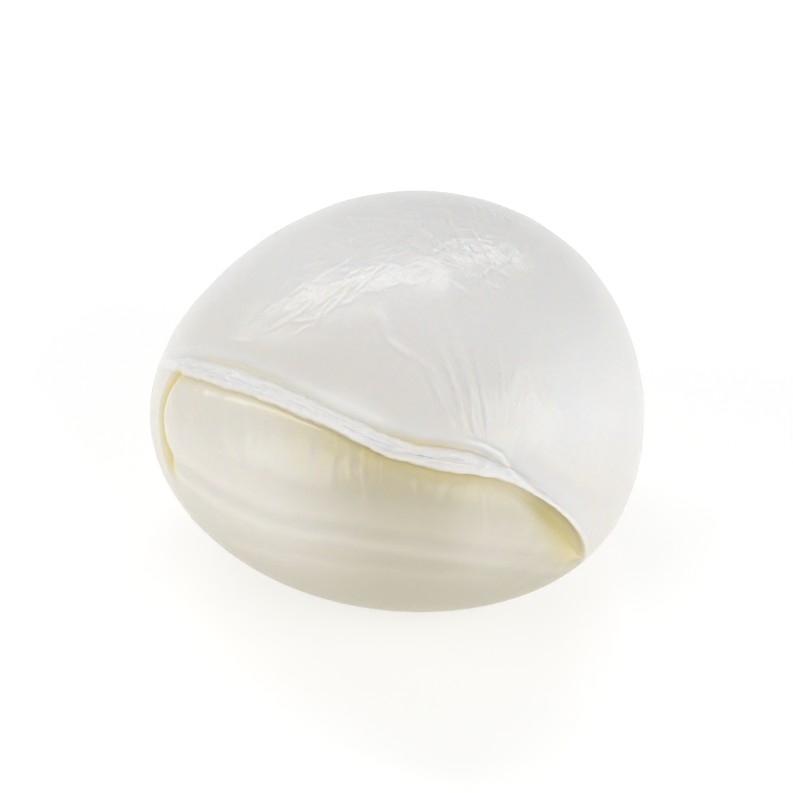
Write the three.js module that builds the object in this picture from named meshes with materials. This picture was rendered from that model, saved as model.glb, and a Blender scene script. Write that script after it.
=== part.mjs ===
// A fresh mozzarella ball of about 125 g, as one solid of soft curd.
//
// The curd was stretched over itself and pinched off, which leaves one open seam on the front. Above the
// seam the skin ends in a rolled lip that hangs over a crease. Below it the inner curd bulges out like an
// eye under its lid, down to a low fold. The ball rests on the small flat that its own weight presses.
//
// Millimetres, +Z up, the seam faces -Y. The origin is under the middle of the ball, on its resting plane.
import * as THREE from "three";
import { mergeVertices } from "three/addons/utils/BufferGeometryUtils.js";

// The body: an ellipsoid that sags a little, flattened where it stands.
const HALF_SIZE = new THREE.Vector3(32.6, 31.0, 27.0);
const FOOT_PRESS = 2.0; // how far the underside is pressed up
const FOOT_ROUNDING = 0.8; // half the height over which the side turns into the foot

// Hand-made unevenness: each lump swells or sinks by its push, over its reach, around a bearing.
// A bearing is [azimuth, elevation] in degrees: azimuth 0 is the front (-Y), 90 the right end (+X).
const LUMP_REACH = 38.5;
const LUMPS = [
  { bearing: [-88, 0], push: 2.9 }, // left end, drawn out as it was pinched
  { bearing: [-70, 50], push: -5.3 }, // slack left shoulder
  { bearing: [65, -30], push: 3.8 }, // heavy lower right
  { bearing: [90, 45], push: 2.4 }, // full right shoulder
  { bearing: [170, 60], push: 0.9 }, // crown, behind the middle
  { bearing: [130, 35], push: 0.6 }, // full back, towards the right
];

// Places on the surface are given around the belly, the point below the seam that the inner curd bulges
// towards. `polar` is the angle away from the belly and `turn` the angle around it, 0 straight above it.
const BELLY_BEARING = [-31, -36];
const SEAM_RADIUS = 30.0; // mean distance of the seam from the centre: one radian across it is this long

// The seam's course: polar angle at each turn. It sags, climbs to a pinched knot, and runs out at the right.
const SEAM_COURSE = [
  [-64, 78], [-45, 79.4], [-22, 80], [26, 75.3], [44, 79], [50, 81.1], // the lip, up to the knot
  [61, 79.6], [72, 78.8], [84, 76.9], [106, 71.6], // the rim beyond it
];
const SEAM_START = -50; // turn of the left corner, where the crease drops down the ball's side
const KNOT_TURN = 49; // turn of the knot, where the thick lip thins into a rim
const SEAM_END = 102; // turn of the right corner

const LIP = { height: 0.75, halfWidth: 1.5 };
const RIM = { height: 0.4, halfWidth: 0.9 };
const LIP_DROOP = 0.3; // how far the lip hangs over the crease
const LIP_HOLLOW = { depth: 0.2, above: 2.6, halfWidth: 1.8 }; // slight hollow along the top of the lip
const CREASE = { depth: 0.8, below: 1.9, halfWidth: 1.6 };

// The lower fold closes the eye, and a second, weaker fold runs below it.
const FOLD_COURSE = [
  [-50, 51], [-42, 47.5], [-23, 43], [-5, 41], [15, 43.5], [45, 51], [75, 61], [99, 68], [108, 72],
];
const FOLD = { height: 0.3, halfWidth: 1.9 };
const LOW_FOLD_COURSE = [[-30, 27], [4, 29], [32, 35], [59, 45], [84, 56]];
const LOW_FOLD = { height: 0.25, halfWidth: 1.9 };
const BELLY_BULGE = 1.1; // how far the curd bulges between seam and fold

// At the left corner a crease drops from the lip to the fold. At the right corner the lip covers a pocket.
const SIDE_CREASE = { turn: -50.5, from: 49, to: 77, depth: 0.6, halfWidth: 1.4 };
const POCKET = { turn: 84, polar: 73, depth: 1.4, halfLength: 8.5, halfWidth: 3.2 };

// The mesh's grid follows the seam, with its lines gathered there.
const COLUMNS = 84;
const ROWS_BELOW = 26;
const ROWS_ABOVE = 31;
const ROW_GATHER = 0.34; // spacing of the rows at the seam, as a share of the mean
const COLUMN_GATHER = 0.4; // how much closer the columns stand at the front

const radians = THREE.MathUtils.degToRad;
const { sin, cos, abs, PI } = Math;

/** The unit vector of a bearing. */
function direction([azimuth, elevation]) {
  const [a, e] = [radians(azimuth), radians(elevation)];
  return new THREE.Vector3(sin(a) * cos(e), -cos(a) * cos(e), sin(e));
}

/** 1 at x = 0, easing down to 0 at x = halfWidth and beyond. */
const bell = (x, halfWidth) => THREE.MathUtils.smoothstep(1 - abs(x) / halfWidth, 0, 1);

/** 0 before low, easing up to 1 at high. */
const rise = (x, low, high) => THREE.MathUtils.smoothstep(x, low, high);

/** The polar angle of a course at a turn: a smooth curve through its points, level past its ends. */
function courseAt(course) {
  const curve = new THREE.SplineCurve(course.map(([turn, polar]) => new THREE.Vector2(turn, polar)));
  const samples = curve.getPoints(240);
  return (turn) => {
    const next = samples.findIndex((p) => p.x > turn);
    if (next <= 0) return (next === 0 ? samples[0] : samples.at(-1)).y;
    const [p, q] = [samples[next - 1], samples[next]];
    return THREE.MathUtils.mapLinear(turn, p.x, q.x, p.y, q.y);
  };
}

const seamAt = courseAt(SEAM_COURSE);
const foldAt = courseAt(FOLD_COURSE);
const lowFoldAt = courseAt(LOW_FOLD_COURSE);

const bellyAxis = direction(BELLY_BEARING);
const aboveAxis = new THREE.Vector3(0, 0, 1).projectOnPlane(bellyAxis).normalize();
const besideAxis = new THREE.Vector3().crossVectors(aboveAxis, bellyAxis);

/** The unit vector at a turn and polar angle around the belly. */
function aroundBelly(turn, polar) {
  const [t, p] = [radians(turn), radians(polar)];
  return bellyAxis
    .clone()
    .multiplyScalar(cos(p))
    .addScaledVector(aboveAxis, cos(t) * sin(p))
    .addScaledVector(besideAxis, sin(t) * sin(p));
}

/** How far the surface stands out from the plain body at a turn and polar angle. */
function relief(turn, polar) {
  const across = (course) => SEAM_RADIUS * radians(polar - course(turn));
  const above = across(seamAt);
  const open = rise(turn, SEAM_START - 5, SEAM_START + 4) * (1 - rise(turn, SEAM_END - 14, SEAM_END + 10));
  const thick = open * (1 - rise(turn, KNOT_TURN - 2, KNOT_TURN + 3));
  const thin = open - thick;

  const lip = thick * LIP.height * bell(above, LIP.halfWidth);
  const rim = thin * RIM.height * bell(above, RIM.halfWidth);
  const hollow = thick * LIP_HOLLOW.depth * bell(above - LIP_HOLLOW.above, LIP_HOLLOW.halfWidth);
  const crease = open * CREASE.depth * bell(above + CREASE.below, CREASE.halfWidth);

  const share = (polar - foldAt(turn)) / (seamAt(turn) - foldAt(turn));
  const inEye = share > 0 && share < 1 ? sin(PI * share) : 0;
  const bulge = open * BELLY_BULGE * inEye;
  const fold = open * FOLD.height * bell(across(foldAt), FOLD.halfWidth);
  const lowOpen = rise(turn, -40, -15) * (1 - rise(turn, 60, 90));
  const lowFold = lowOpen * LOW_FOLD.height * bell(across(lowFoldAt), LOW_FOLD.halfWidth);

  const fromSide = SEAM_RADIUS * sin(radians(polar)) * radians(turn - SIDE_CREASE.turn);
  const alongSide = rise(polar, SIDE_CREASE.from - 4, SIDE_CREASE.from + 8)
    * (1 - rise(polar, SIDE_CREASE.to - 4, SIDE_CREASE.to));
  const sideCrease = alongSide * SIDE_CREASE.depth * bell(fromSide, SIDE_CREASE.halfWidth);

  const pocketX = (SEAM_RADIUS * radians(turn - POCKET.turn)) / POCKET.halfLength;
  const pocketY = (SEAM_RADIUS * radians(polar - POCKET.polar)) / POCKET.halfWidth;
  const pocket = POCKET.depth * bell(Math.hypot(pocketX, pocketY), 1);

  const out = lip + rim - hollow - crease + bulge + fold + lowFold - sideCrease - pocket;
  return { out, droop: LIP_DROOP * thick * bell(above - 0.3, LIP.halfWidth) };
}

/** Swells or sinks a point by every lump that reaches it. */
function pressLumps(point) {
  for (const { bearing, push } of LUMPS) {
    const towards = direction(bearing);
    const centre = towards.clone().multiply(HALF_SIZE);
    point.addScaledVector(towards, push * bell(point.distanceTo(centre), LUMP_REACH));
  }
}

/** Keeps a height above the foot, turning smoothly into its flat. */
function pressFoot(z) {
  const footZ = FOOT_PRESS - HALF_SIZE.z;
  const t = (z - footZ) / FOOT_ROUNDING;
  if (t >= 1) return z;
  return t <= -1 ? footZ : footZ + (FOOT_ROUNDING * (t + 1) ** 2) / 4;
}

/** The ball's surface at a turn and polar angle around the belly. */
function surfacePoint(turn, polar) {
  const outward = aroundBelly(turn, polar);
  const point = outward.clone().multiply(HALF_SIZE);
  pressLumps(point);
  const { out, droop } = relief(turn, polar);
  point.addScaledVector(outward, out).add(new THREE.Vector3(0, 0, -droop));
  point.z = pressFoot(point.z);
  return point;
}

/** Steps from 0 to 1, close together at the start. */
const gathered = (k) => ROW_GATHER * k + (1 - ROW_GATHER) * k ** 3;

/** The polar angle of a grid row: rows run from the pole opposite the belly, past the seam, to the belly. */
function rowPolar(row, seam) {
  if (row < ROWS_ABOVE) return seam + (180 - seam) * gathered(1 - row / ROWS_ABOVE);
  return seam * (1 - gathered((row - ROWS_ABOVE) / ROWS_BELOW));
}

/** The turn of a grid column: columns stand closer together at the middle of the seam. */
function columnTurn(column) {
  const frontTurn = (SEAM_START + SEAM_END) / 2;
  const around = (2 * PI * (column % COLUMNS)) / COLUMNS;
  const turn = frontTurn + THREE.MathUtils.radToDeg(around - COLUMN_GATHER * sin(around));
  return turn > frontTurn + 180 ? turn - 360 : turn;
}

/** A closed grid around the belly, whose rows run along the seam. */
function ballGeometry() {
  const rows = ROWS_BELOW + ROWS_ABOVE;
  const geometry = new THREE.SphereGeometry(1, COLUMNS, rows);
  const position = geometry.getAttribute("position");
  for (let column = 0; column <= COLUMNS; column += 1) {
    const turn = columnTurn(column);
    for (let row = 0; row <= rows; row += 1) {
      const p = surfacePoint(turn, rowPolar(row, seamAt(turn)));
      position.setXYZ(row * (COLUMNS + 1) + column, p.x, p.y, p.z);
    }
  }
  geometry.deleteAttribute("normal");
  geometry.deleteAttribute("uv");
  const merged = mergeVertices(geometry, 1e-4);
  merged.computeBoundingBox();
  const middle = merged.boundingBox.getCenter(new THREE.Vector3());
  merged.translate(-middle.x, -middle.y, -merged.boundingBox.min.z);
  merged.computeVertexNormals();
  return merged;
}

const curd = new THREE.MeshStandardMaterial({ color: 0xf1ede2, roughness: 0.38, metalness: 0 });

const ball = new THREE.Mesh(ballGeometry(), curd);
ball.name = "mozzarella_ball";

const group = new THREE.Group();
group.add(ball);

export default group;
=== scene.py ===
# A fresh mozzarella ball of about 125 g, pinched off by hand, standing on a white studio table.
#
# The ball is one piece of curd. Its skin ends in a rolled lip that hangs over an open seam, and the inner
# curd bulges out below it. The ball's own sizes are millimetres and its places on the skin are degrees.
# What stands around it is in the frame's metres.
from math import cos, radians, sin

import bpy
import numpy as np
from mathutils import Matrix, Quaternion, Vector


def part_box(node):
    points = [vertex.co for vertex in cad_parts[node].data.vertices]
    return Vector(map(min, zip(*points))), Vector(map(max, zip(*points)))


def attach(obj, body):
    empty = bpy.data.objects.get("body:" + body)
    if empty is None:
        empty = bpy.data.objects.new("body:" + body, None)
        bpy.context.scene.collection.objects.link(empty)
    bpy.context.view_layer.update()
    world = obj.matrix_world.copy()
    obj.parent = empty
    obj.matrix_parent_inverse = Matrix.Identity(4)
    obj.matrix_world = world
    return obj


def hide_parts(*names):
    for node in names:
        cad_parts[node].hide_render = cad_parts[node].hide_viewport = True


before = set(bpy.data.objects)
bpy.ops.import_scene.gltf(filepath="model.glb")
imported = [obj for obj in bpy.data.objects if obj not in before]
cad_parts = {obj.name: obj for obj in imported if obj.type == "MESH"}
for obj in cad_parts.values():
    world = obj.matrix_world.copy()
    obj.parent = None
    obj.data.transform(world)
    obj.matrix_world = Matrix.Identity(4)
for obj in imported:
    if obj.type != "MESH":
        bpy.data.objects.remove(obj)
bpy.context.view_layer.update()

# ---------------------------------------------------------------------------------------------------------
# Camera. It looks down on the ball's seam from the front, from far enough away to keep the ball's
# proportions.
MM = 0.001
CAMERA_ELEVATION = radians(42)
CAMERA_DISTANCE = 620 * MM
CAMERA_LENS = 200
NEAREST_SEEN = 0.01
FARTHEST_SEEN = 100

ball_low, ball_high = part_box("mozzarella_ball")
ball_middle = (ball_low + ball_high) / 2
camera_direction = Vector((0, -cos(CAMERA_ELEVATION), sin(CAMERA_ELEVATION)))
bpy.ops.object.camera_add(location=ball_middle + CAMERA_DISTANCE * camera_direction)
camera = bpy.context.object
camera.name = "camera"
camera.rotation_euler = (-camera_direction).to_track_quat("-Z", "Y").to_euler()
camera.data.lens = CAMERA_LENS
camera.data.clip_start = NEAREST_SEEN
camera.data.clip_end = FARTHEST_SEEN
bpy.context.scene.camera = camera

# ---------------------------------------------------------------------------------------------------------
# The studio: a glossy white table that runs out of sight and glows a little, in a white room. Wide
# softboxes stand at the left and the right of the ball and a weak one low at the right. Two narrow ones
# behind it draw the streaks of light on its crown.
TABLE_SIZE = 60
TABLE_WHITE = (0.56, 0.56, 0.56, 1)
TABLE_ROUGHNESS = 0.12
TABLE_GLOW = 0.53
ROOM_LIGHT = 0.38
PURE_WHITE = (1, 1, 1, 1)
SOFTBOX_DISTANCE = 0.9

bpy.ops.mesh.primitive_plane_add(size=TABLE_SIZE)
floor = bpy.context.object
floor.name = "floor"
table_finish = bpy.data.materials.new("table_white")
table_finish.use_nodes = True
table_surface = table_finish.node_tree.nodes["Principled BSDF"]
table_surface.inputs["Base Color"].default_value = TABLE_WHITE
table_surface.inputs["Roughness"].default_value = TABLE_ROUGHNESS
table_surface.inputs["Emission Color"].default_value = PURE_WHITE
table_surface.inputs["Emission Strength"].default_value = TABLE_GLOW
floor.data.materials.append(table_finish)

room = bpy.data.worlds.new("room")
room.use_nodes = True
room_light = room.node_tree.nodes["Background"]
room_light.inputs["Color"].default_value = PURE_WHITE
room_light.inputs["Strength"].default_value = ROOM_LIGHT
bpy.context.scene.world = room


def softbox(name, direction, size, power, tilt=0):
    """A rectangular softbox that faces the ball from a direction, tilted in degrees about that line."""
    towards = Vector(direction).normalized()
    facing = (-towards).to_track_quat("-Z", "Y") @ Quaternion((0, 0, 1), radians(tilt))
    bpy.ops.object.light_add(type="AREA", location=ball_middle + SOFTBOX_DISTANCE * towards)
    light = bpy.context.object
    light.name = name
    light.rotation_euler = facing.to_euler()
    light.data.shape = "RECTANGLE"
    light.data.size, light.data.size_y = size
    light.data.energy = power


softbox("left_softbox", (-0.88, -0.45, 0.5), (0.7, 0.7), 3.3)
softbox("right_softbox", (0.78, -0.72, 0.5), (0.7, 0.7), 3.7)
softbox("low_softbox", (0.95, -0.22, 0.2), (0.5, 0.5), 0.25)
softbox("overhead_softbox", (-0.42, 0.51, 0.75), (0.8, 0.09), 1.85, -54)
softbox("back_softbox", (0.3, 0.68, 0.67), (0.5, 0.12), 1.1, 46)
bpy.context.scene.view_settings.view_transform = "Standard"

# ---------------------------------------------------------------------------------------------------------
# The ball: stretched curd, folded under itself and pinched off by hand, soft enough to sag and to press a
# flat foot. It starts as a fine sphere, takes its body's shape from a few broad pushes, and then its seam,
# folds and wrinkles from finer ones.
HALF_SIZE = Vector((32.6, 31.0, 27.0))
SKIN_GRAIN = 7  # subdivisions of the first sphere

# Each lump swells or sinks the body over one reach, around an azimuth from the front and an elevation.
LUMP_REACH = 38.5
LUMPS = (
    ((-88, 0), 2.9),  # left end, drawn out as it was pinched
    ((-70, 50), -5.3),  # slack left shoulder
    ((65, -30), 3.8),  # heavy lower right
    ((90, 45), 2.4),  # full right shoulder
    ((170, 60), 0.9),  # crown, behind the middle
    ((130, 35), 0.6),  # full back, towards the right
)

# Places on the skin are given around the belly, the point below the seam that the curd bulges towards: the
# polar angle away from it, and the turn around it, which is 0 straight above. A course gives a value, most
# often a polar angle, at some turns.
BELLY_BEARING = (-31, -36)
SEAM_RADIUS = 30.0  # mean distance of the seam from the centre: one radian across it is this long
SEAM_COURSE = (
    (-64, 78), (-45, 79.4), (-22, 80), (26, 75.3), (44, 79), (50, 81.1),  # the lip, up to the knot
    (61, 79.6), (72, 78.8), (84, 76.9), (106, 71.6),  # the rim beyond it
)
SEAM_START = -50
KNOT_TURN = 49
SEAM_END = 102


def bearing(azimuth, elevation):
    """The unit vector of a bearing in degrees: azimuth 0 is the front, 90 the right end."""
    a, e = radians(azimuth), radians(elevation)
    return Vector((sin(a) * cos(e), -cos(a) * cos(e), sin(e)))


def rise(x, low, high):
    """0 before low, easing up to 1 at high."""
    t = np.clip((x - low) / (high - low), 0, 1)
    return t * t * (3 - 2 * t)


def between(x, start, full, fade, end):
    """0 before start, easing up to 1 at full, and from fade down to 0 again at end."""
    return rise(x, start, full) * (1 - rise(x, fade, end))


def bell(x, half_width):
    """1 at x = 0, easing down to 0 at half_width on both sides."""
    return rise(1 - np.abs(x) / half_width, 0, 1)


def rounded(x, half_width):
    """1 at x = 0, rounding off like a rod to 0 at half_width on both sides."""
    return np.sqrt(np.clip(1 - (x / half_width) ** 2, 0, 1))


def along(turn, course):
    """The value of a course at every turn, with its corners rounded."""
    turns, values = zip(*course)
    return np.mean([np.interp(turn + shift, turns, values) for shift in (-6, -3, 0, 3, 6)], axis=0)


belly = bearing(*BELLY_BEARING)
above_belly = (Vector((0, 0, 1)) - belly * belly.z).normalized()
beside_belly = above_belly.cross(belly)


def places(points):
    """The turn and the polar angle of points on the sphere, in degrees."""
    units = points / np.linalg.norm(points, axis=1, keepdims=True)
    polar = np.degrees(np.arccos(np.clip(units @ np.array(belly), -1, 1)))
    turn = np.degrees(np.arctan2(units @ np.array(beside_belly), units @ np.array(above_belly)))
    return turn, polar


def outwards(polar, start):
    """Millimetres on the skin from a polar angle out to another, away from the belly."""
    return SEAM_RADIUS * np.radians(polar - start)


def around(turn, polar, start):
    """Millimetres on the skin, at a polar angle, from a turn on to another."""
    return SEAM_RADIUS * np.sin(np.radians(polar)) * np.radians(turn - start)


def points_of(piece):
    """The places of a mesh's points, one row each."""
    flat = np.empty(len(piece.data.vertices) * 3)
    piece.data.vertices.foreach_get("co", flat)
    return flat.reshape(-1, 3)


def select_faces(piece, chosen):
    """Selects the faces whose three corners are all chosen points."""
    corners = np.empty(len(piece.data.polygons) * 3, dtype=np.int32)
    piece.data.polygons.foreach_get("vertices", corners)
    bpy.ops.object.mode_set(mode="EDIT")
    bpy.ops.mesh.select_all(action="DESELECT")
    bpy.ops.mesh.select_mode(type="FACE")
    bpy.ops.object.mode_set(mode="OBJECT")
    piece.data.polygons.foreach_set("select", chosen[corners].reshape(-1, 3).all(axis=1))


bpy.ops.object.select_all(action="DESELECT")
bpy.ops.mesh.primitive_ico_sphere_add(subdivisions=SKIN_GRAIN, radius=1)
ball = bpy.context.object
ball.name = "ball_of_curd"


def refine(low, high, start=SEAM_START - 8, end=SEAM_END + 8):
    """Splits the skin's faces finer between two distances from the seam and between two turns."""
    turn, polar = places(points_of(ball))
    across = outwards(polar, along(turn, SEAM_COURSE))
    select_faces(ball, (across > low) & (across < high) & (turn > start) & (turn < end))
    bpy.ops.object.mode_set(mode="EDIT")
    bpy.ops.mesh.subdivide(number_cuts=1, smoothness=0)
    bpy.ops.mesh.select_all(action="SELECT")
    bpy.ops.mesh.quads_convert_to_tris()
    bpy.ops.transform.tosphere(value=1)
    bpy.ops.object.mode_set(mode="OBJECT")


refine(-8, 12)  # the seam and the skin on both sides of it
refine(12, 42, -40, 65)  # the crown
refine(-3, 2)  # the lip and the crease once more
points = points_of(ball)
sphere_radius = np.linalg.norm(points, axis=1).mean()
on_sphere = points * SEAM_RADIUS / sphere_radius
turn, polar = places(points)
seam_polar = along(turn, SEAM_COURSE)
across = outwards(polar, seam_polar)  # from the lip's ridge up the dome, below 0 under the lip

bpy.ops.object.mode_set(mode="EDIT")
bpy.ops.mesh.select_all(action="SELECT")
bpy.ops.transform.resize(value=HALF_SIZE * MM / sphere_radius)
bpy.ops.mesh.select_mode(type="VERT")
for (azimuth, elevation), swelling in LUMPS:
    bpy.ops.mesh.select_all(action="DESELECT")
    bpy.ops.object.mode_set(mode="OBJECT")
    towards = bearing(azimuth, elevation)
    nearest = int(np.argmax(points @ np.array(towards)))
    ball.data.vertices[nearest].select = True
    bpy.ops.object.mode_set(mode="EDIT")
    bpy.ops.transform.translate(
        value=towards * swelling * MM,
        use_proportional_edit=True,
        proportional_edit_falloff="SMOOTH",
        proportional_size=LUMP_REACH * MM,
    )
bpy.ops.object.mode_set(mode="OBJECT")

FAINTEST_WEIGHT = 0.002  # a weight below this moves nothing


def push(weights, height, direction="NORMAL"):
    """Moves the skin along its normal, or along an axis, by a height where the weight is 1."""
    group = ball.vertex_groups.new(name="push")
    for index in np.flatnonzero(weights > FAINTEST_WEIGHT):
        group.add([int(index)], float(weights[index]), "REPLACE")
    displace = ball.modifiers.new("push", "DISPLACE")
    displace.vertex_group = group.name
    displace.direction = direction
    displace.mid_level = 0
    displace.strength = height * MM
    bpy.ops.object.modifier_apply(modifier=displace.name)
    ball.vertex_groups.clear()


def push_ridge(weights, distance, ridge):
    """Raises a ridge, or sinks a groove, from its distance, its half width and its height."""
    middle, half_width, height = ridge
    push(weights * bell(distance - middle, half_width), height)


def place(turn, polar):
    """The point of the plain sphere at a turn and a polar angle, in millimetres."""
    t, p = radians(turn), radians(polar)
    return SEAM_RADIUS * np.array(belly * cos(p) + (above_belly * cos(t) + beside_belly * sin(t)) * sin(p))


def crinkle(path, half_width):
    """A tapered line through some places on the skin: 1 along its middle, 0 from half_width."""
    corners = [place(*corner) for corner in path]
    runs = [end - start for start, end in zip(corners, corners[1:])]
    lengths = [np.linalg.norm(run) for run in runs]
    away = np.full(len(on_sphere), np.inf)
    travelled = np.zeros(len(on_sphere))
    for index, (start, run) in enumerate(zip(corners, runs)):
        share = np.clip((on_sphere - start) @ run / (run @ run), 0, 1)
        distance = np.linalg.norm(on_sphere - start - share[:, None] * run, axis=1)
        nearer = distance < away
        away = np.where(nearer, distance, away)
        so_far = (sum(lengths[:index]) + share * lengths[index]) / sum(lengths)
        travelled = np.where(nearer, so_far, travelled)
    return bell(away, half_width) * between(travelled, -0.05, 0.25, 0.7, 1.05)


def wobble(x, wave, phase):
    """A smooth irregular swing between about -1 and 1, on a wavelength."""
    swings = [np.sin(x / wave * pace + order * phase) for order, pace in ((1, 6.3), (2, 3.7), (3, 10.1))]
    return sum(swings) / len(swings)


# The inner curd bulges between the seam and the lower fold, where the skin closes over it again. A second,
# weaker fold runs below. Spans are the four turns at which a feature starts, is full, fades and ends.
SEAM_SPAN = (SEAM_START - 5, SEAM_START + 4, SEAM_END - 14, SEAM_END + 8)
FOLD_COURSE = (
    (-50, 51), (-42, 47.5), (-23, 43), (-5, 41), (15, 43.5), (45, 51), (75, 61), (99, 68), (108, 72),
)
LOW_FOLD_COURSE = ((-30, 27), (4, 29), (32, 35), (59, 45), (84, 56))
LOW_FOLD_SPAN = (-40, -15, 60, 90)
BELLY_BULGE = 1.1
FOLD_RIDGE = (-0.6, 2.4, 0.28)  # distance from its course, half width, height
FOLD_GROOVE = (2.0, 2.2, -0.16)
LOW_FOLD_RIDGE = (0, 2.6, 0.22)

seam_open = between(turn, *SEAM_SPAN)
low_fold_open = between(turn, *LOW_FOLD_SPAN)
fold_polar = along(turn, FOLD_COURSE)
from_fold = outwards(polar, fold_polar) + 0.3 * wobble(turn, 30, 1)
from_low_fold = outwards(polar, along(turn, LOW_FOLD_COURSE)) + 0.4 * wobble(turn, 40, 2)
in_eye = np.clip((polar - fold_polar) / (seam_polar - fold_polar), 0, 1)
push(seam_open * np.sin(np.pi * in_eye**1.2), BELLY_BULGE)
push_ridge(seam_open, from_fold, FOLD_RIDGE)
push_ridge(seam_open, from_fold, FOLD_GROOVE)
push_ridge(low_fold_open, from_low_fold, LOW_FOLD_RIDGE)

# The lip: the skin's rolled edge, a loose rope of curd fibres, thick up to a pinched knot and a thin rim
# beyond it. It droops over the crease below, which is shallow at the left and deep under the knot.
LIP_SPAN = (SEAM_START - 18, SEAM_START - 2, SEAM_END - 12, SEAM_END + 6)
LIP_WIDTH = (
    (-66, 0.4), (-56, 0.8), (-42, 1.65), (-10, 1.5), (12, 1.15), (30, 1.5), (46, 1.55),
    (54, 0.55), (105, 0.45),
)
LIP_HEIGHT = (
    (-66, 0.0), (-56, 0.2), (-44, 0.5), (0, 0.7), (46, 0.85),
    (52, 0.4), (66, 0.3), (80, 0.12), (105, 0.1),
)
LIP_DROOP = 0.22
FIBRES = ((-0.66, 1), (-0.25, 2), (0.18, 3), (0.6, 4))  # share of the lip's half width, seed
FIBRE_HALF_WIDTH = 0.36  # of the lip's half width
FIBRE_HEIGHT = 0.34  # of the lip's height
CREASE_EDGE = (-0.5, 0.3)  # below the lip, where the crease starts and where it is deepest
CREASE_DEPTH = (
    (-48, 0.2), (-20, 0.25), (5, 0.45), (25, 0.75), (46, 0.75), (62, 0.5), (76, 0.4), (106, 0.4),
)
CREASE_REACH = ((-48, 0.6), (-20, 0.7), (10, 1.5), (35, 2.3), (60, 1.3), (106, 1.0))
LIP_HOLLOW = (0.5, 1.4, -0.2)  # distance above the lip, half width, height
RIM_HOLLOW = (2.6, 3.2, -0.35)  # distance above the seam, half width, height
RIM_HOLLOW_SPAN = (KNOT_TURN + 2, KNOT_TURN + 9, 72, 90)

lip_open = between(turn, *LIP_SPAN)
lip_width = along(turn, LIP_WIDTH) * (1 + 0.12 * wobble(turn, 22, 3) + 0.07 * wobble(turn, 6, 6))
lip_height = along(turn, LIP_HEIGHT) * (1 + 0.1 * wobble(turn, 9, 5))
fibres = np.zeros_like(across)
for middle, seed in FIBRES:
    from_fibre = across / lip_width - middle - 0.2 * wobble(turn, 30, seed)
    thickness = 0.75 + 0.25 * wobble(turn, 17, seed + 4)
    fibres = np.maximum(fibres, thickness * bell(from_fibre, FIBRE_HALF_WIDTH))
fibre_share = FIBRE_HEIGHT * (1 - rise(turn, 38, 48))
in_lip = lip_open * rounded(across, lip_width)
lip = in_lip * (1 - fibre_share + fibre_share * fibres) * lip_height


def fading(distance, reach):
    """1 up to a distance of 0, and fading away beyond it over a reach."""
    return np.exp(-np.clip(distance, 0, None) / reach)


above_lip = across - lip_width
below_lip = -across - lip_width
crease_open = seam_open * rise(below_lip, *CREASE_EDGE)
crease_reach = along(turn, CREASE_REACH)
crease = crease_open * fading(below_lip - CREASE_EDGE[1], crease_reach)
push(crease * along(turn, CREASE_DEPTH), -1)
push_ridge(lip_open * (1 - rise(turn, KNOT_TURN - 3, KNOT_TURN)), above_lip, LIP_HOLLOW)
push_ridge(between(turn, *RIM_HOLLOW_SPAN), across, RIM_HOLLOW)
push(lip, 1)

# The knot, where the lip ends pinched off square, and a thin ridge of skin that bends over its end.
KNOT_HEIGHT = 0.3
HOOK_PATH = ((38, 83.6), (44, 84.6), (49.5, 84.2), (53, 82.4), (57, 80.9), (64, 80.6))
HOOK_HALF_WIDTH = 0.75
HOOK_HEIGHT = 0.45

knot_x = around(turn, polar, KNOT_TURN)
knot_y = outwards(polar, along(KNOT_TURN, SEAM_COURSE))
knot = bell(knot_x + 0.6, 1.3) * bell(knot_y - 0.2, 2.1)
hook = crinkle(HOOK_PATH, HOOK_HALF_WIDTH)
push(knot, KNOT_HEIGHT)
push(hook, HOOK_HEIGHT)

# The lip and the knot hang towards the belly.
hanging_lip = lip_open * rise(turn, -50, -20) * (1 - 0.6 * rise(turn, 56, 70))
droop = np.clip(hanging_lip * bell(across - 0.2, 1.6 * lip_width) + knot, 0, 1)
for axis, share in zip("XYZ", belly):
    push(abs(share) * droop, LIP_DROOP * np.sign(share), axis)

# The pocket at the right corner, where the curd dives under the edge of the skin.
POCKET_SPAN = (55, 72, 95, 108)
POCKET_WIDTH = ((52, 0.8), (62, 1.9), (70, 3.1), (78, 4.2), (88, 4.6), (100, 3.6), (112, 1.0))
POCKET_EDGE = (0.1, 0.8)  # below the seam, where the pocket starts and where it is deepest
POCKET_DEPTH = 1.1

pocket_open = between(turn, *POCKET_SPAN)
pocket_width = along(turn, POCKET_WIDTH)
pocket = pocket_open * between(-across, *POCKET_EDGE, 0.2 * pocket_width, 1.3 * pocket_width)
push(pocket, -POCKET_DEPTH)

# The left corner: the crease turns down the ball's side, and the skin outside it stands up a little.
SIDE_COURSE = ((50, -49.5), (57, -49.4), (63, -51.3), (69, -51.8), (75, -49.5), (79, -46))  # polar, turn
SIDE_SPAN = (43, 52, 75, 79)  # polar angles
SIDE_CREASE = (0, 1.5, -0.55)  # distance from its course, half width, height
SIDE_SKIN = (-2.0, 1.5, 0.35)

down_side = between(polar, *SIDE_SPAN)
from_side = around(turn, polar, along(polar, SIDE_COURSE)) + 0.2 * wobble(polar, 30, 4)
push_ridge(down_side, from_side, SIDE_CREASE)
push_ridge(down_side, from_side, SIDE_SKIN)

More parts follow.
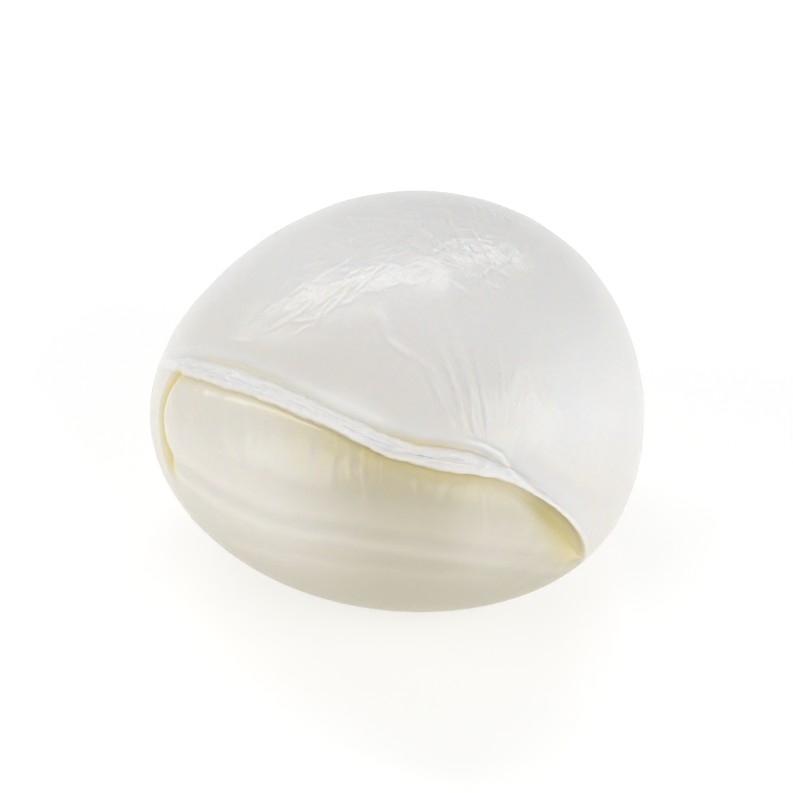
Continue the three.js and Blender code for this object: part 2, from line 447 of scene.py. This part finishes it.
# Creases in the skin. Each is a line through a few places, with its half width and its height.
CREASES = (
    # Long ones up the dome, most of them from the knot.
    (((0, 108), (9, 102), (16, 100), (23, 98.5), (28, 95), (34, 89)), 1.0, 0.15),
    (((1, 105), (9, 100.5), (16, 98.5), (22, 97), (26, 94)), 1.0, -0.11),
    (((21, 97), (27, 94), (32, 89), (36, 85)), 0.5, 0.1),
    (((27, 100), (34, 92), (39, 85.5)), 0.45, 0.09),
    (((33, 99), (37, 92.5), (41.6, 86)), 0.4, 0.15),
    (((35.5, 100), (39.3, 95), (44.5, 86.5)), 0.4, 0.15),
    (((39, 101), (43.5, 93), (46.5, 86.5)), 0.4, 0.09),
    (((42.7, 100), (46.5, 93), (48.7, 87.5)), 0.4, 0.11),
    (((49, 97), (51, 91), (51.5, 87)), 0.45, 0.09),
    (((57, 93), (56, 88), (54.5, 85)), 0.45, 0.08),
    (((22, 104), (30, 97), (36, 89)), 0.5, 0.09),
    (((14, 100), (24, 93), (31, 86)), 0.5, 0.08),
    (((30, 108), (36, 99), (41, 92)), 0.5, 0.1),
    (((36, 111), (41, 102), (45, 94)), 0.5, 0.1),
    (((44, 109), (47, 101), (49, 93)), 0.5, 0.1),
    (((62, 110), (70, 104.5), (77, 99), (74, 93.5)), 0.5, 0.13),
    # Short puckers, below the lip.
    (((12, 73), (16, 67), (19, 62)), 0.4, 0.11),
    (((16, 74), (20, 67), (25, 60)), 0.5, 0.12),
    (((22, 73), (27, 65)), 0.4, 0.1),
    (((7, 75), (11, 69), (12, 64)), 0.4, 0.08),
    (((30, 73), (36, 66), (42, 62)), 0.6, 0.07),
    (((49, 76), (55, 69), (60, 63)), 0.6, 0.1),
    # Crumples on the crown.
    (((-6, 151), (6, 141), (15, 134), (22, 130), (35, 128)), 0.45, 0.14),
    (((4, 156), (14, 145), (25, 137), (35, 132)), 0.4, 0.12),
    (((9, 147), (17, 139), (24, 133), (30, 126)), 0.4, 0.12),
    (((-16, 138), (0, 135), (13, 130), (24, 124)), 0.45, 0.11),
    (((-47, 136), (-31, 133), (-11, 137), (2, 139)), 0.45, 0.1),
    (((-28, 140), (-14, 144), (2, 146), (12, 143)), 0.4, 0.09),
    (((16, 121), (24, 126), (31, 134), (30, 141)), 0.4, 0.09),
)
for path, half_width, height in CREASES:
    push(crinkle(path, half_width), height)


RIPPLE_WAVES = 9


def ripples(x, y, wave, seed):
    """A smooth irregular field between about -1 and 1, of plane waves in all directions."""
    draws = np.random.default_rng(seed)
    field = np.zeros_like(x)
    for _ in range(RIPPLE_WAVES):
        heading = draws.uniform(0, 2 * np.pi)
        length = wave * draws.uniform(0.6, 1.7)
        phase = draws.uniform(0, 6.3)
        field += np.sin(2 * np.pi * (x * np.cos(heading) + y * np.sin(heading)) / length + phase)
    return field / 4


def waves(x, y, wave, seed):
    """Ripples between about 0 and 1, for a push."""
    return 0.5 + 0.5 * ripples(x, y, wave, seed)


WRINKLE_HALF_LENGTH = (1.2, 4.0)
WRINKLE_HALF_WIDTH = 0.42
WRINKLE_BEND = 0.12
WRINKLE_SCATTER = 28  # degrees around the heading


def wrinkles(x, y, count, centre, spread, heading, seed):
    """Short fine ridges at random places around a centre, most of them along a heading in degrees."""
    draws = np.random.default_rng(seed)
    field = np.zeros_like(x)
    for _ in range(count):
        middle_x = centre[0] + spread[0] * draws.normal()
        middle_y = centre[1] + spread[1] * draws.normal()
        angle = radians(heading + draws.normal() * WRINKLE_SCATTER)
        half_length = draws.uniform(*WRINKLE_HALF_LENGTH)
        bend = draws.uniform(-WRINKLE_BEND, WRINKLE_BEND)
        strength = draws.uniform(0.4, 1)
        way = (x - middle_x) * cos(angle) + (y - middle_y) * sin(angle)
        away = (y - middle_y) * cos(angle) - (x - middle_x) * sin(angle) - bend * way**2
        field = np.maximum(field, strength * bell(away, WRINKLE_HALF_WIDTH) * bell(way, half_length))
    return field


# The skin over the dome is a little uneven all over, and its crown is crumpled into fine wrinkles. On top
# they are strewn over the ball as seen from above, and behind as seen from there. Each patch gives how
# many, around which middle, how far they spread, their heading, their seed and their height.
DOME_UNEVENNESS = 0.1
TOP_WRINKLES = (
    (70, (13, 3), (4.5, 5.5), -55, 7, 0.16),  # right of the crown
    (110, (-5, -1.0), (9, 2.4), 10, 8, 0.07),  # across the crown
    (40, (20, -15), (5, 4), -60, 11, 0.06),  # right shoulder, in front
    (26, (-1, 10), (6, 3), -25, 9, 0.1),  # behind the crown
)
BACK_WRINKLES = (70, (2, 3), (14, 9), 15, 13)
BACK_WRINKLE_HEIGHT = 0.07

skin_x, skin_y, skin_z = points_of(ball).T / MM
dome = rise(across, 1.5, 5)
on_top = dome * (skin_z > 0)
at_back = dome * rise(skin_y, 8, 18)
push(dome * waves(skin_x, skin_y + skin_z, 9, 1), DOME_UNEVENNESS)
for *patch, height in TOP_WRINKLES:
    push(on_top * wrinkles(skin_x, skin_y, *patch), height)
push(at_back * wrinkles(skin_x, skin_z, *BACK_WRINKLES), BACK_WRINKLE_HEIGHT)

# From the knot faint wrinkles fan out along the pull of the pinch. The belly has faint folds down from the
# lip, and the lip itself is rough, as torn curd is.
FAN_HEADING = -38  # degrees around the knot from straight up the dome
FAN_HALF_ANGLE = 60
FAN_SPAN = (2, 6, 14, 32)  # distances from the knot
HANGING_SPAN = (1, 4, 9, 16)  # distances below the seam
FAN_HEIGHT = 0.12
HANGING_HEIGHT = 0.12
LIP_ROUGHNESS = 0.1

knot_reach = np.hypot(knot_x, knot_y)
knot_angle = np.degrees(np.arctan2(knot_x, knot_y))
fan = dome * between(knot_reach, *FAN_SPAN) * bell(knot_angle - FAN_HEADING, FAN_HALF_ANGLE)
hanging = seam_open * between(-across, *HANGING_SPAN)
slant = turn + 0.55 * polar
push(fan * waves(knot_angle / 6, knot_reach / 14, 1, 4), FAN_HEIGHT)
push(hanging * waves(slant / 5, polar / 22, 1, 5), HANGING_HEIGHT)
push(in_lip * waves(turn * 0.5, across, 1.3, 6), LIP_ROUGHNESS)

# The foot, pressed flat by the ball's own weight.
FOOT_PRESS = 2.0

foot_height = (FOOT_PRESS - HALF_SIZE.z) * MM
bpy.ops.object.mode_set(mode="EDIT")
bpy.ops.mesh.select_all(action="DESELECT")
bpy.ops.object.mode_set(mode="OBJECT")
ball.data.vertices.foreach_set("select", points_of(ball)[:, 2] < foot_height)
bpy.ops.object.mode_set(mode="EDIT")
bpy.ops.transform.resize(value=(1, 1, 0), center_override=(0, 0, foot_height))
bpy.ops.object.mode_set(mode="OBJECT")

# The finished ball stands where the frame's ball stands.
points = points_of(ball)
shift = ball_middle - Vector((points.min(0) + points.max(0)) / 2)
shift.z = ball_low.z - points[:, 2].min()
bpy.ops.object.mode_set(mode="EDIT")
bpy.ops.mesh.select_all(action="SELECT")
bpy.ops.transform.translate(value=shift)
bpy.ops.object.mode_set(mode="OBJECT")
bpy.ops.object.shade_smooth()


def paint(name, weights):
    """Keeps a weight for every point of the ball, for its finish to read."""
    layer = ball.data.attributes.new(name, "FLOAT", "POINT")
    layer.data.foreach_set("value", np.clip(weights, 0, 1).astype(np.float32))


# Cream and painted shade fill the crease, the side crease and patches above the lip; cream mottles the
# belly.
CREAM_AND_SHADE_IN_CREASE = ((-48, 0.65), (-15, 0.55), (10, 0.7), (40, 0.85), (50, 0.9), (58, 0.6), (75, 0.6))
CREAM_AND_SHADE_ABOVE_LIP = (
    (-45, 0), (-38, 0.35), (-15, 0.35), (-5, 0.1), (15, 0.15), (28, 0.65), (41, 0.5), (47, 0),
)
MOTTLE_SPAN = (0.5, 2, 5, 12)  # distances below the seam

crease_cream_and_shade = crease_open * fading(below_lip, 0.4 + crease_reach) * along(turn, CREAM_AND_SHADE_IN_CREASE)
side_cream_and_shade = down_side * bell(from_side - 0.1, 2.0)
over_lip_cream_and_shade = lip_open * bell(above_lip - 0.3, 1.1) * along(turn, CREAM_AND_SHADE_ABOVE_LIP)
mottle = seam_open * between(-across, *MOTTLE_SPAN) * bell(turn - 10, 26)
mottle *= np.clip(0.5 + ripples(turn * 0.5, polar * 0.3, 3, 12), 0, 1)
paint("cream_and_shade", crease_cream_and_shade + 1.3 * side_cream_and_shade + over_lip_cream_and_shade + 0.25 * mottle)
# Painted shade: the pocket's curd is painted dark yellow, the recess's shade over the curd's cream tint.
pocket_shade = between(-across, *POCKET_EDGE, 0.3 * pocket_width, 1.6 * pocket_width)
paint("pocket", pocket_open * pocket_shade)

# The inner curd is warmer than the skin, with a sharp edge at the seam. Behind, one blends into the other.
# In the middle and at the right it is painted darker and yellower: painted shade, lighter at the left.
below_seam = 1 - rise(across, -1.5, 0)
behind = 1 - between(turn, -85, -52, 100, 135)
inner_curd = (1 - behind) * below_seam + behind * (1 - rise(polar, 15, 100))
paint("inner_curd", inner_curd * (1 - 0.15 * seam_open * bell(from_fold + 0.4, 2.5)))
paint("belly_shade", below_seam * rise(skin_x, -20, 0) * (1 - 0.45 * rise(skin_x, 4, 13)))

# A painted highlight lightens the skin right of the knot; painted shade darkens and browns it above the
# seam.
# Skin and curd both get darker and warmer towards the table: painted shade.
HIGHLIGHT_PLACE = (66, 103)
HIGHLIGHT_REACH = 17
# How much painted shade darkens the skin above the seam, at some turns.
SHADE_ABOVE_SEAM_SHARE = (
    (-65, 0.2), (-20, 0.7), (10, 0.6), (35, 0.3), (50, 0.6), (65, 1), (80, 0.9), (98, 0.2),
)

from_highlight = np.linalg.norm(on_sphere - place(*HIGHLIGHT_PLACE), axis=1)
paint("painted_highlight", dome * bell(from_highlight, HIGHLIGHT_REACH))
paint("low_shade", 1 - rise(skin_z, -16, 4))
paint("shade_above_seam", dome * (1 - rise(across, 6, 20)) * along(turn, SHADE_ABOVE_SEAM_SHARE))

# The lip is whiter than the skin, most of all on its fibres, its knot and its hook.
lip_shows = rise(turn, -58, -44) * (1 - 0.75 * rise(turn, 56, 66))
paint("lip", lip_shows * in_lip * (0.55 + 0.45 * fibres) + 0.8 * knot + 0.7 * hook)

# Where the skin is crumpled, its fine grain is rougher too.
crown_patch = on_top * bell(np.hypot((skin_x - 3) / 30, (skin_y - 1) / 17), 1)
shoulder_patch = dome * bell(np.hypot((skin_x - 21) / 12, (skin_y + 17) / 10), 1)
paint("crumple", crown_patch + 0.5 * in_lip + 0.4 * fan + 0.6 * shoulder_patch + 0.3 * at_back)


class Value:
    """A number that varies over a surface. Python's arithmetic on it adds Math nodes."""

    def __init__(self, finish, socket):
        self.finish = finish
        self.socket = socket

    def math(self, operation, other):
        """The outcome of a Math node on this value and another."""
        return self.finish.node("Math", {"operation": operation}, {0: self, 1: other})

    def __add__(self, other):
        return self.math("ADD", other)

    def __mul__(self, other):
        return self.math("MULTIPLY", other)

    __radd__ = __add__
    __rmul__ = __mul__


class Finish:
    """A material and its nodes."""

    def __init__(self, name):
        self.material = bpy.data.materials.new(name)
        self.material.use_nodes = True
        self.tree = self.material.node_tree
        self.surface = self.tree.nodes["Principled BSDF"]

    def feed(self, socket, value):
        """Links a value to a socket, or sets the socket to a constant."""
        if isinstance(value, Value):
            self.tree.links.new(value.socket, socket)
        else:
            socket.default_value = value

    def node(self, kind, settings, inputs, output=0):
        """Adds a node, sets it, feeds it values or constants, and gives one of its outputs."""
        node = self.tree.nodes.new("ShaderNode" + kind)
        for name, setting in settings.items():
            setattr(node, name, setting)
        for name, value in inputs.items():
            self.feed(node.inputs[name], value)
        return Value(self, node.outputs[output])

    def layer(self, name):
        """One of the weights painted on the piece."""
        return self.node("Attribute", {"attribute_name": name}, {}, "Fac")

    def mix(self, share, first, second):
        """The first colour, turning into the second as the share goes from 0 to 1."""
        # The Mix node's sockets go by number: its factor is 0, and its colours are 6, 7 and, coming out, 2.
        return self.node("Mix", {"data_type": "RGBA"}, {0: share, 6: first, 7: second}, 2)


# The finish: white curd that light goes into, under a thin wet coat of whey.
SKIN = (0.765, 0.757, 0.747, 1)
# Skin darkened and browned above the seam by painted shade.
SHADED_SKIN = (0.71, 0.685, 0.63, 1)
# Skin towards the table, darkened by painted shade.
SHADED_LOW_SKIN = (0.66, 0.63, 0.56, 1)
# Skin right of the knot, lightened by a painted highlight.
HIGHLIGHT_SKIN = (0.85, 0.845, 0.84, 1)
INNER_CURD = (0.755, 0.727, 0.66, 1)
# Inner curd darkened by painted shade in the middle and at the right, and how much of it.
SHADED_CURD = (0.52, 0.48, 0.37, 1)
BELLY_SHADE_STRENGTH = 0.8
# Curd towards the table, darkened by painted shade.
SHADED_LOW_CURD = (0.475, 0.437, 0.33, 1)
LIP = (0.765, 0.762, 0.762, 1)
# Cream yellow: the curd's tint, and in the creases painted shade.
CREAM_AND_SHADE = (0.76, 0.67, 0.35, 1)
# Dark yellow pocket curd: painted shade over the cream tint.
SHADED_POCKET_CURD = (0.60, 0.52, 0.255, 1)
CURD_AND_WHEY = {
    "Subsurface Weight": 1.0,
    "Subsurface Radius": (1.0, 0.8, 0.55),
    "Subsurface Scale": 1.6 * MM,
    "IOR": 1.1,
    "Coat Weight": 0.32,
    "Coat Roughness": 0.22,
    "Coat IOR": 2.0,
}
ROUGHNESS = 0.28
ROUGHNESS_SWING = 0.2
GRAIN = {"Scale": 700, "Detail": 4, "Distortion": 1.0}  # the scale is for places in metres
FINE_GRAIN = {"Scale": 2200, "Detail": 2}
FINE_GRAIN_SHARE = 0.3
GRAIN_HEIGHT = 0.3
SMOOTH_SHARE = 0.25  # of the grain's height, where the skin isn't crumpled

curd = Finish("wet_curd")
# The colour carries the painted shade and the painted highlight from the weights painted above.
low_shade = curd.layer("low_shade")
skin = curd.mix(curd.layer("shade_above_seam"), SKIN, SHADED_SKIN)
skin = curd.mix(low_shade, skin, SHADED_LOW_SKIN)
skin = curd.mix(curd.layer("painted_highlight"), skin, HIGHLIGHT_SKIN)
inside = curd.mix(BELLY_SHADE_STRENGTH * curd.layer("belly_shade"), INNER_CURD, SHADED_CURD)
inside = curd.mix(low_shade, inside, SHADED_LOW_CURD)
colour = curd.mix(curd.layer("inner_curd"), skin, inside)
colour = curd.mix(curd.layer("lip"), colour, LIP)
colour = curd.mix(curd.layer("cream_and_shade"), colour, CREAM_AND_SHADE)
colour = curd.mix(curd.layer("pocket"), colour, SHADED_POCKET_CURD)
curd.feed(curd.surface.inputs["Base Color"], colour)

object_place = curd.node("TexCoord", {}, {}, "Object")
grain = curd.node("TexNoise", {}, {"Vector": object_place, **GRAIN})
fine_grain = curd.node("TexNoise", {}, {"Vector": object_place, **FINE_GRAIN})
roughening = curd.layer("crumple") * (1 - SMOOTH_SHARE) + SMOOTH_SHARE
relief = (grain + FINE_GRAIN_SHARE * fine_grain) * roughening
bump = curd.node("Bump", {}, {"Strength": 1.0, "Distance": GRAIN_HEIGHT * MM, "Height": relief})
curd.feed(curd.surface.inputs["Normal"], bump)
curd.feed(curd.surface.inputs["Roughness"], grain * ROUGHNESS_SWING + ROUGHNESS)
for name, setting in CURD_AND_WHEY.items():
    curd.feed(curd.surface.inputs[name], setting)
ball.data.materials.append(curd.material)

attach(ball, "root")
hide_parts("mozzarella_ball")
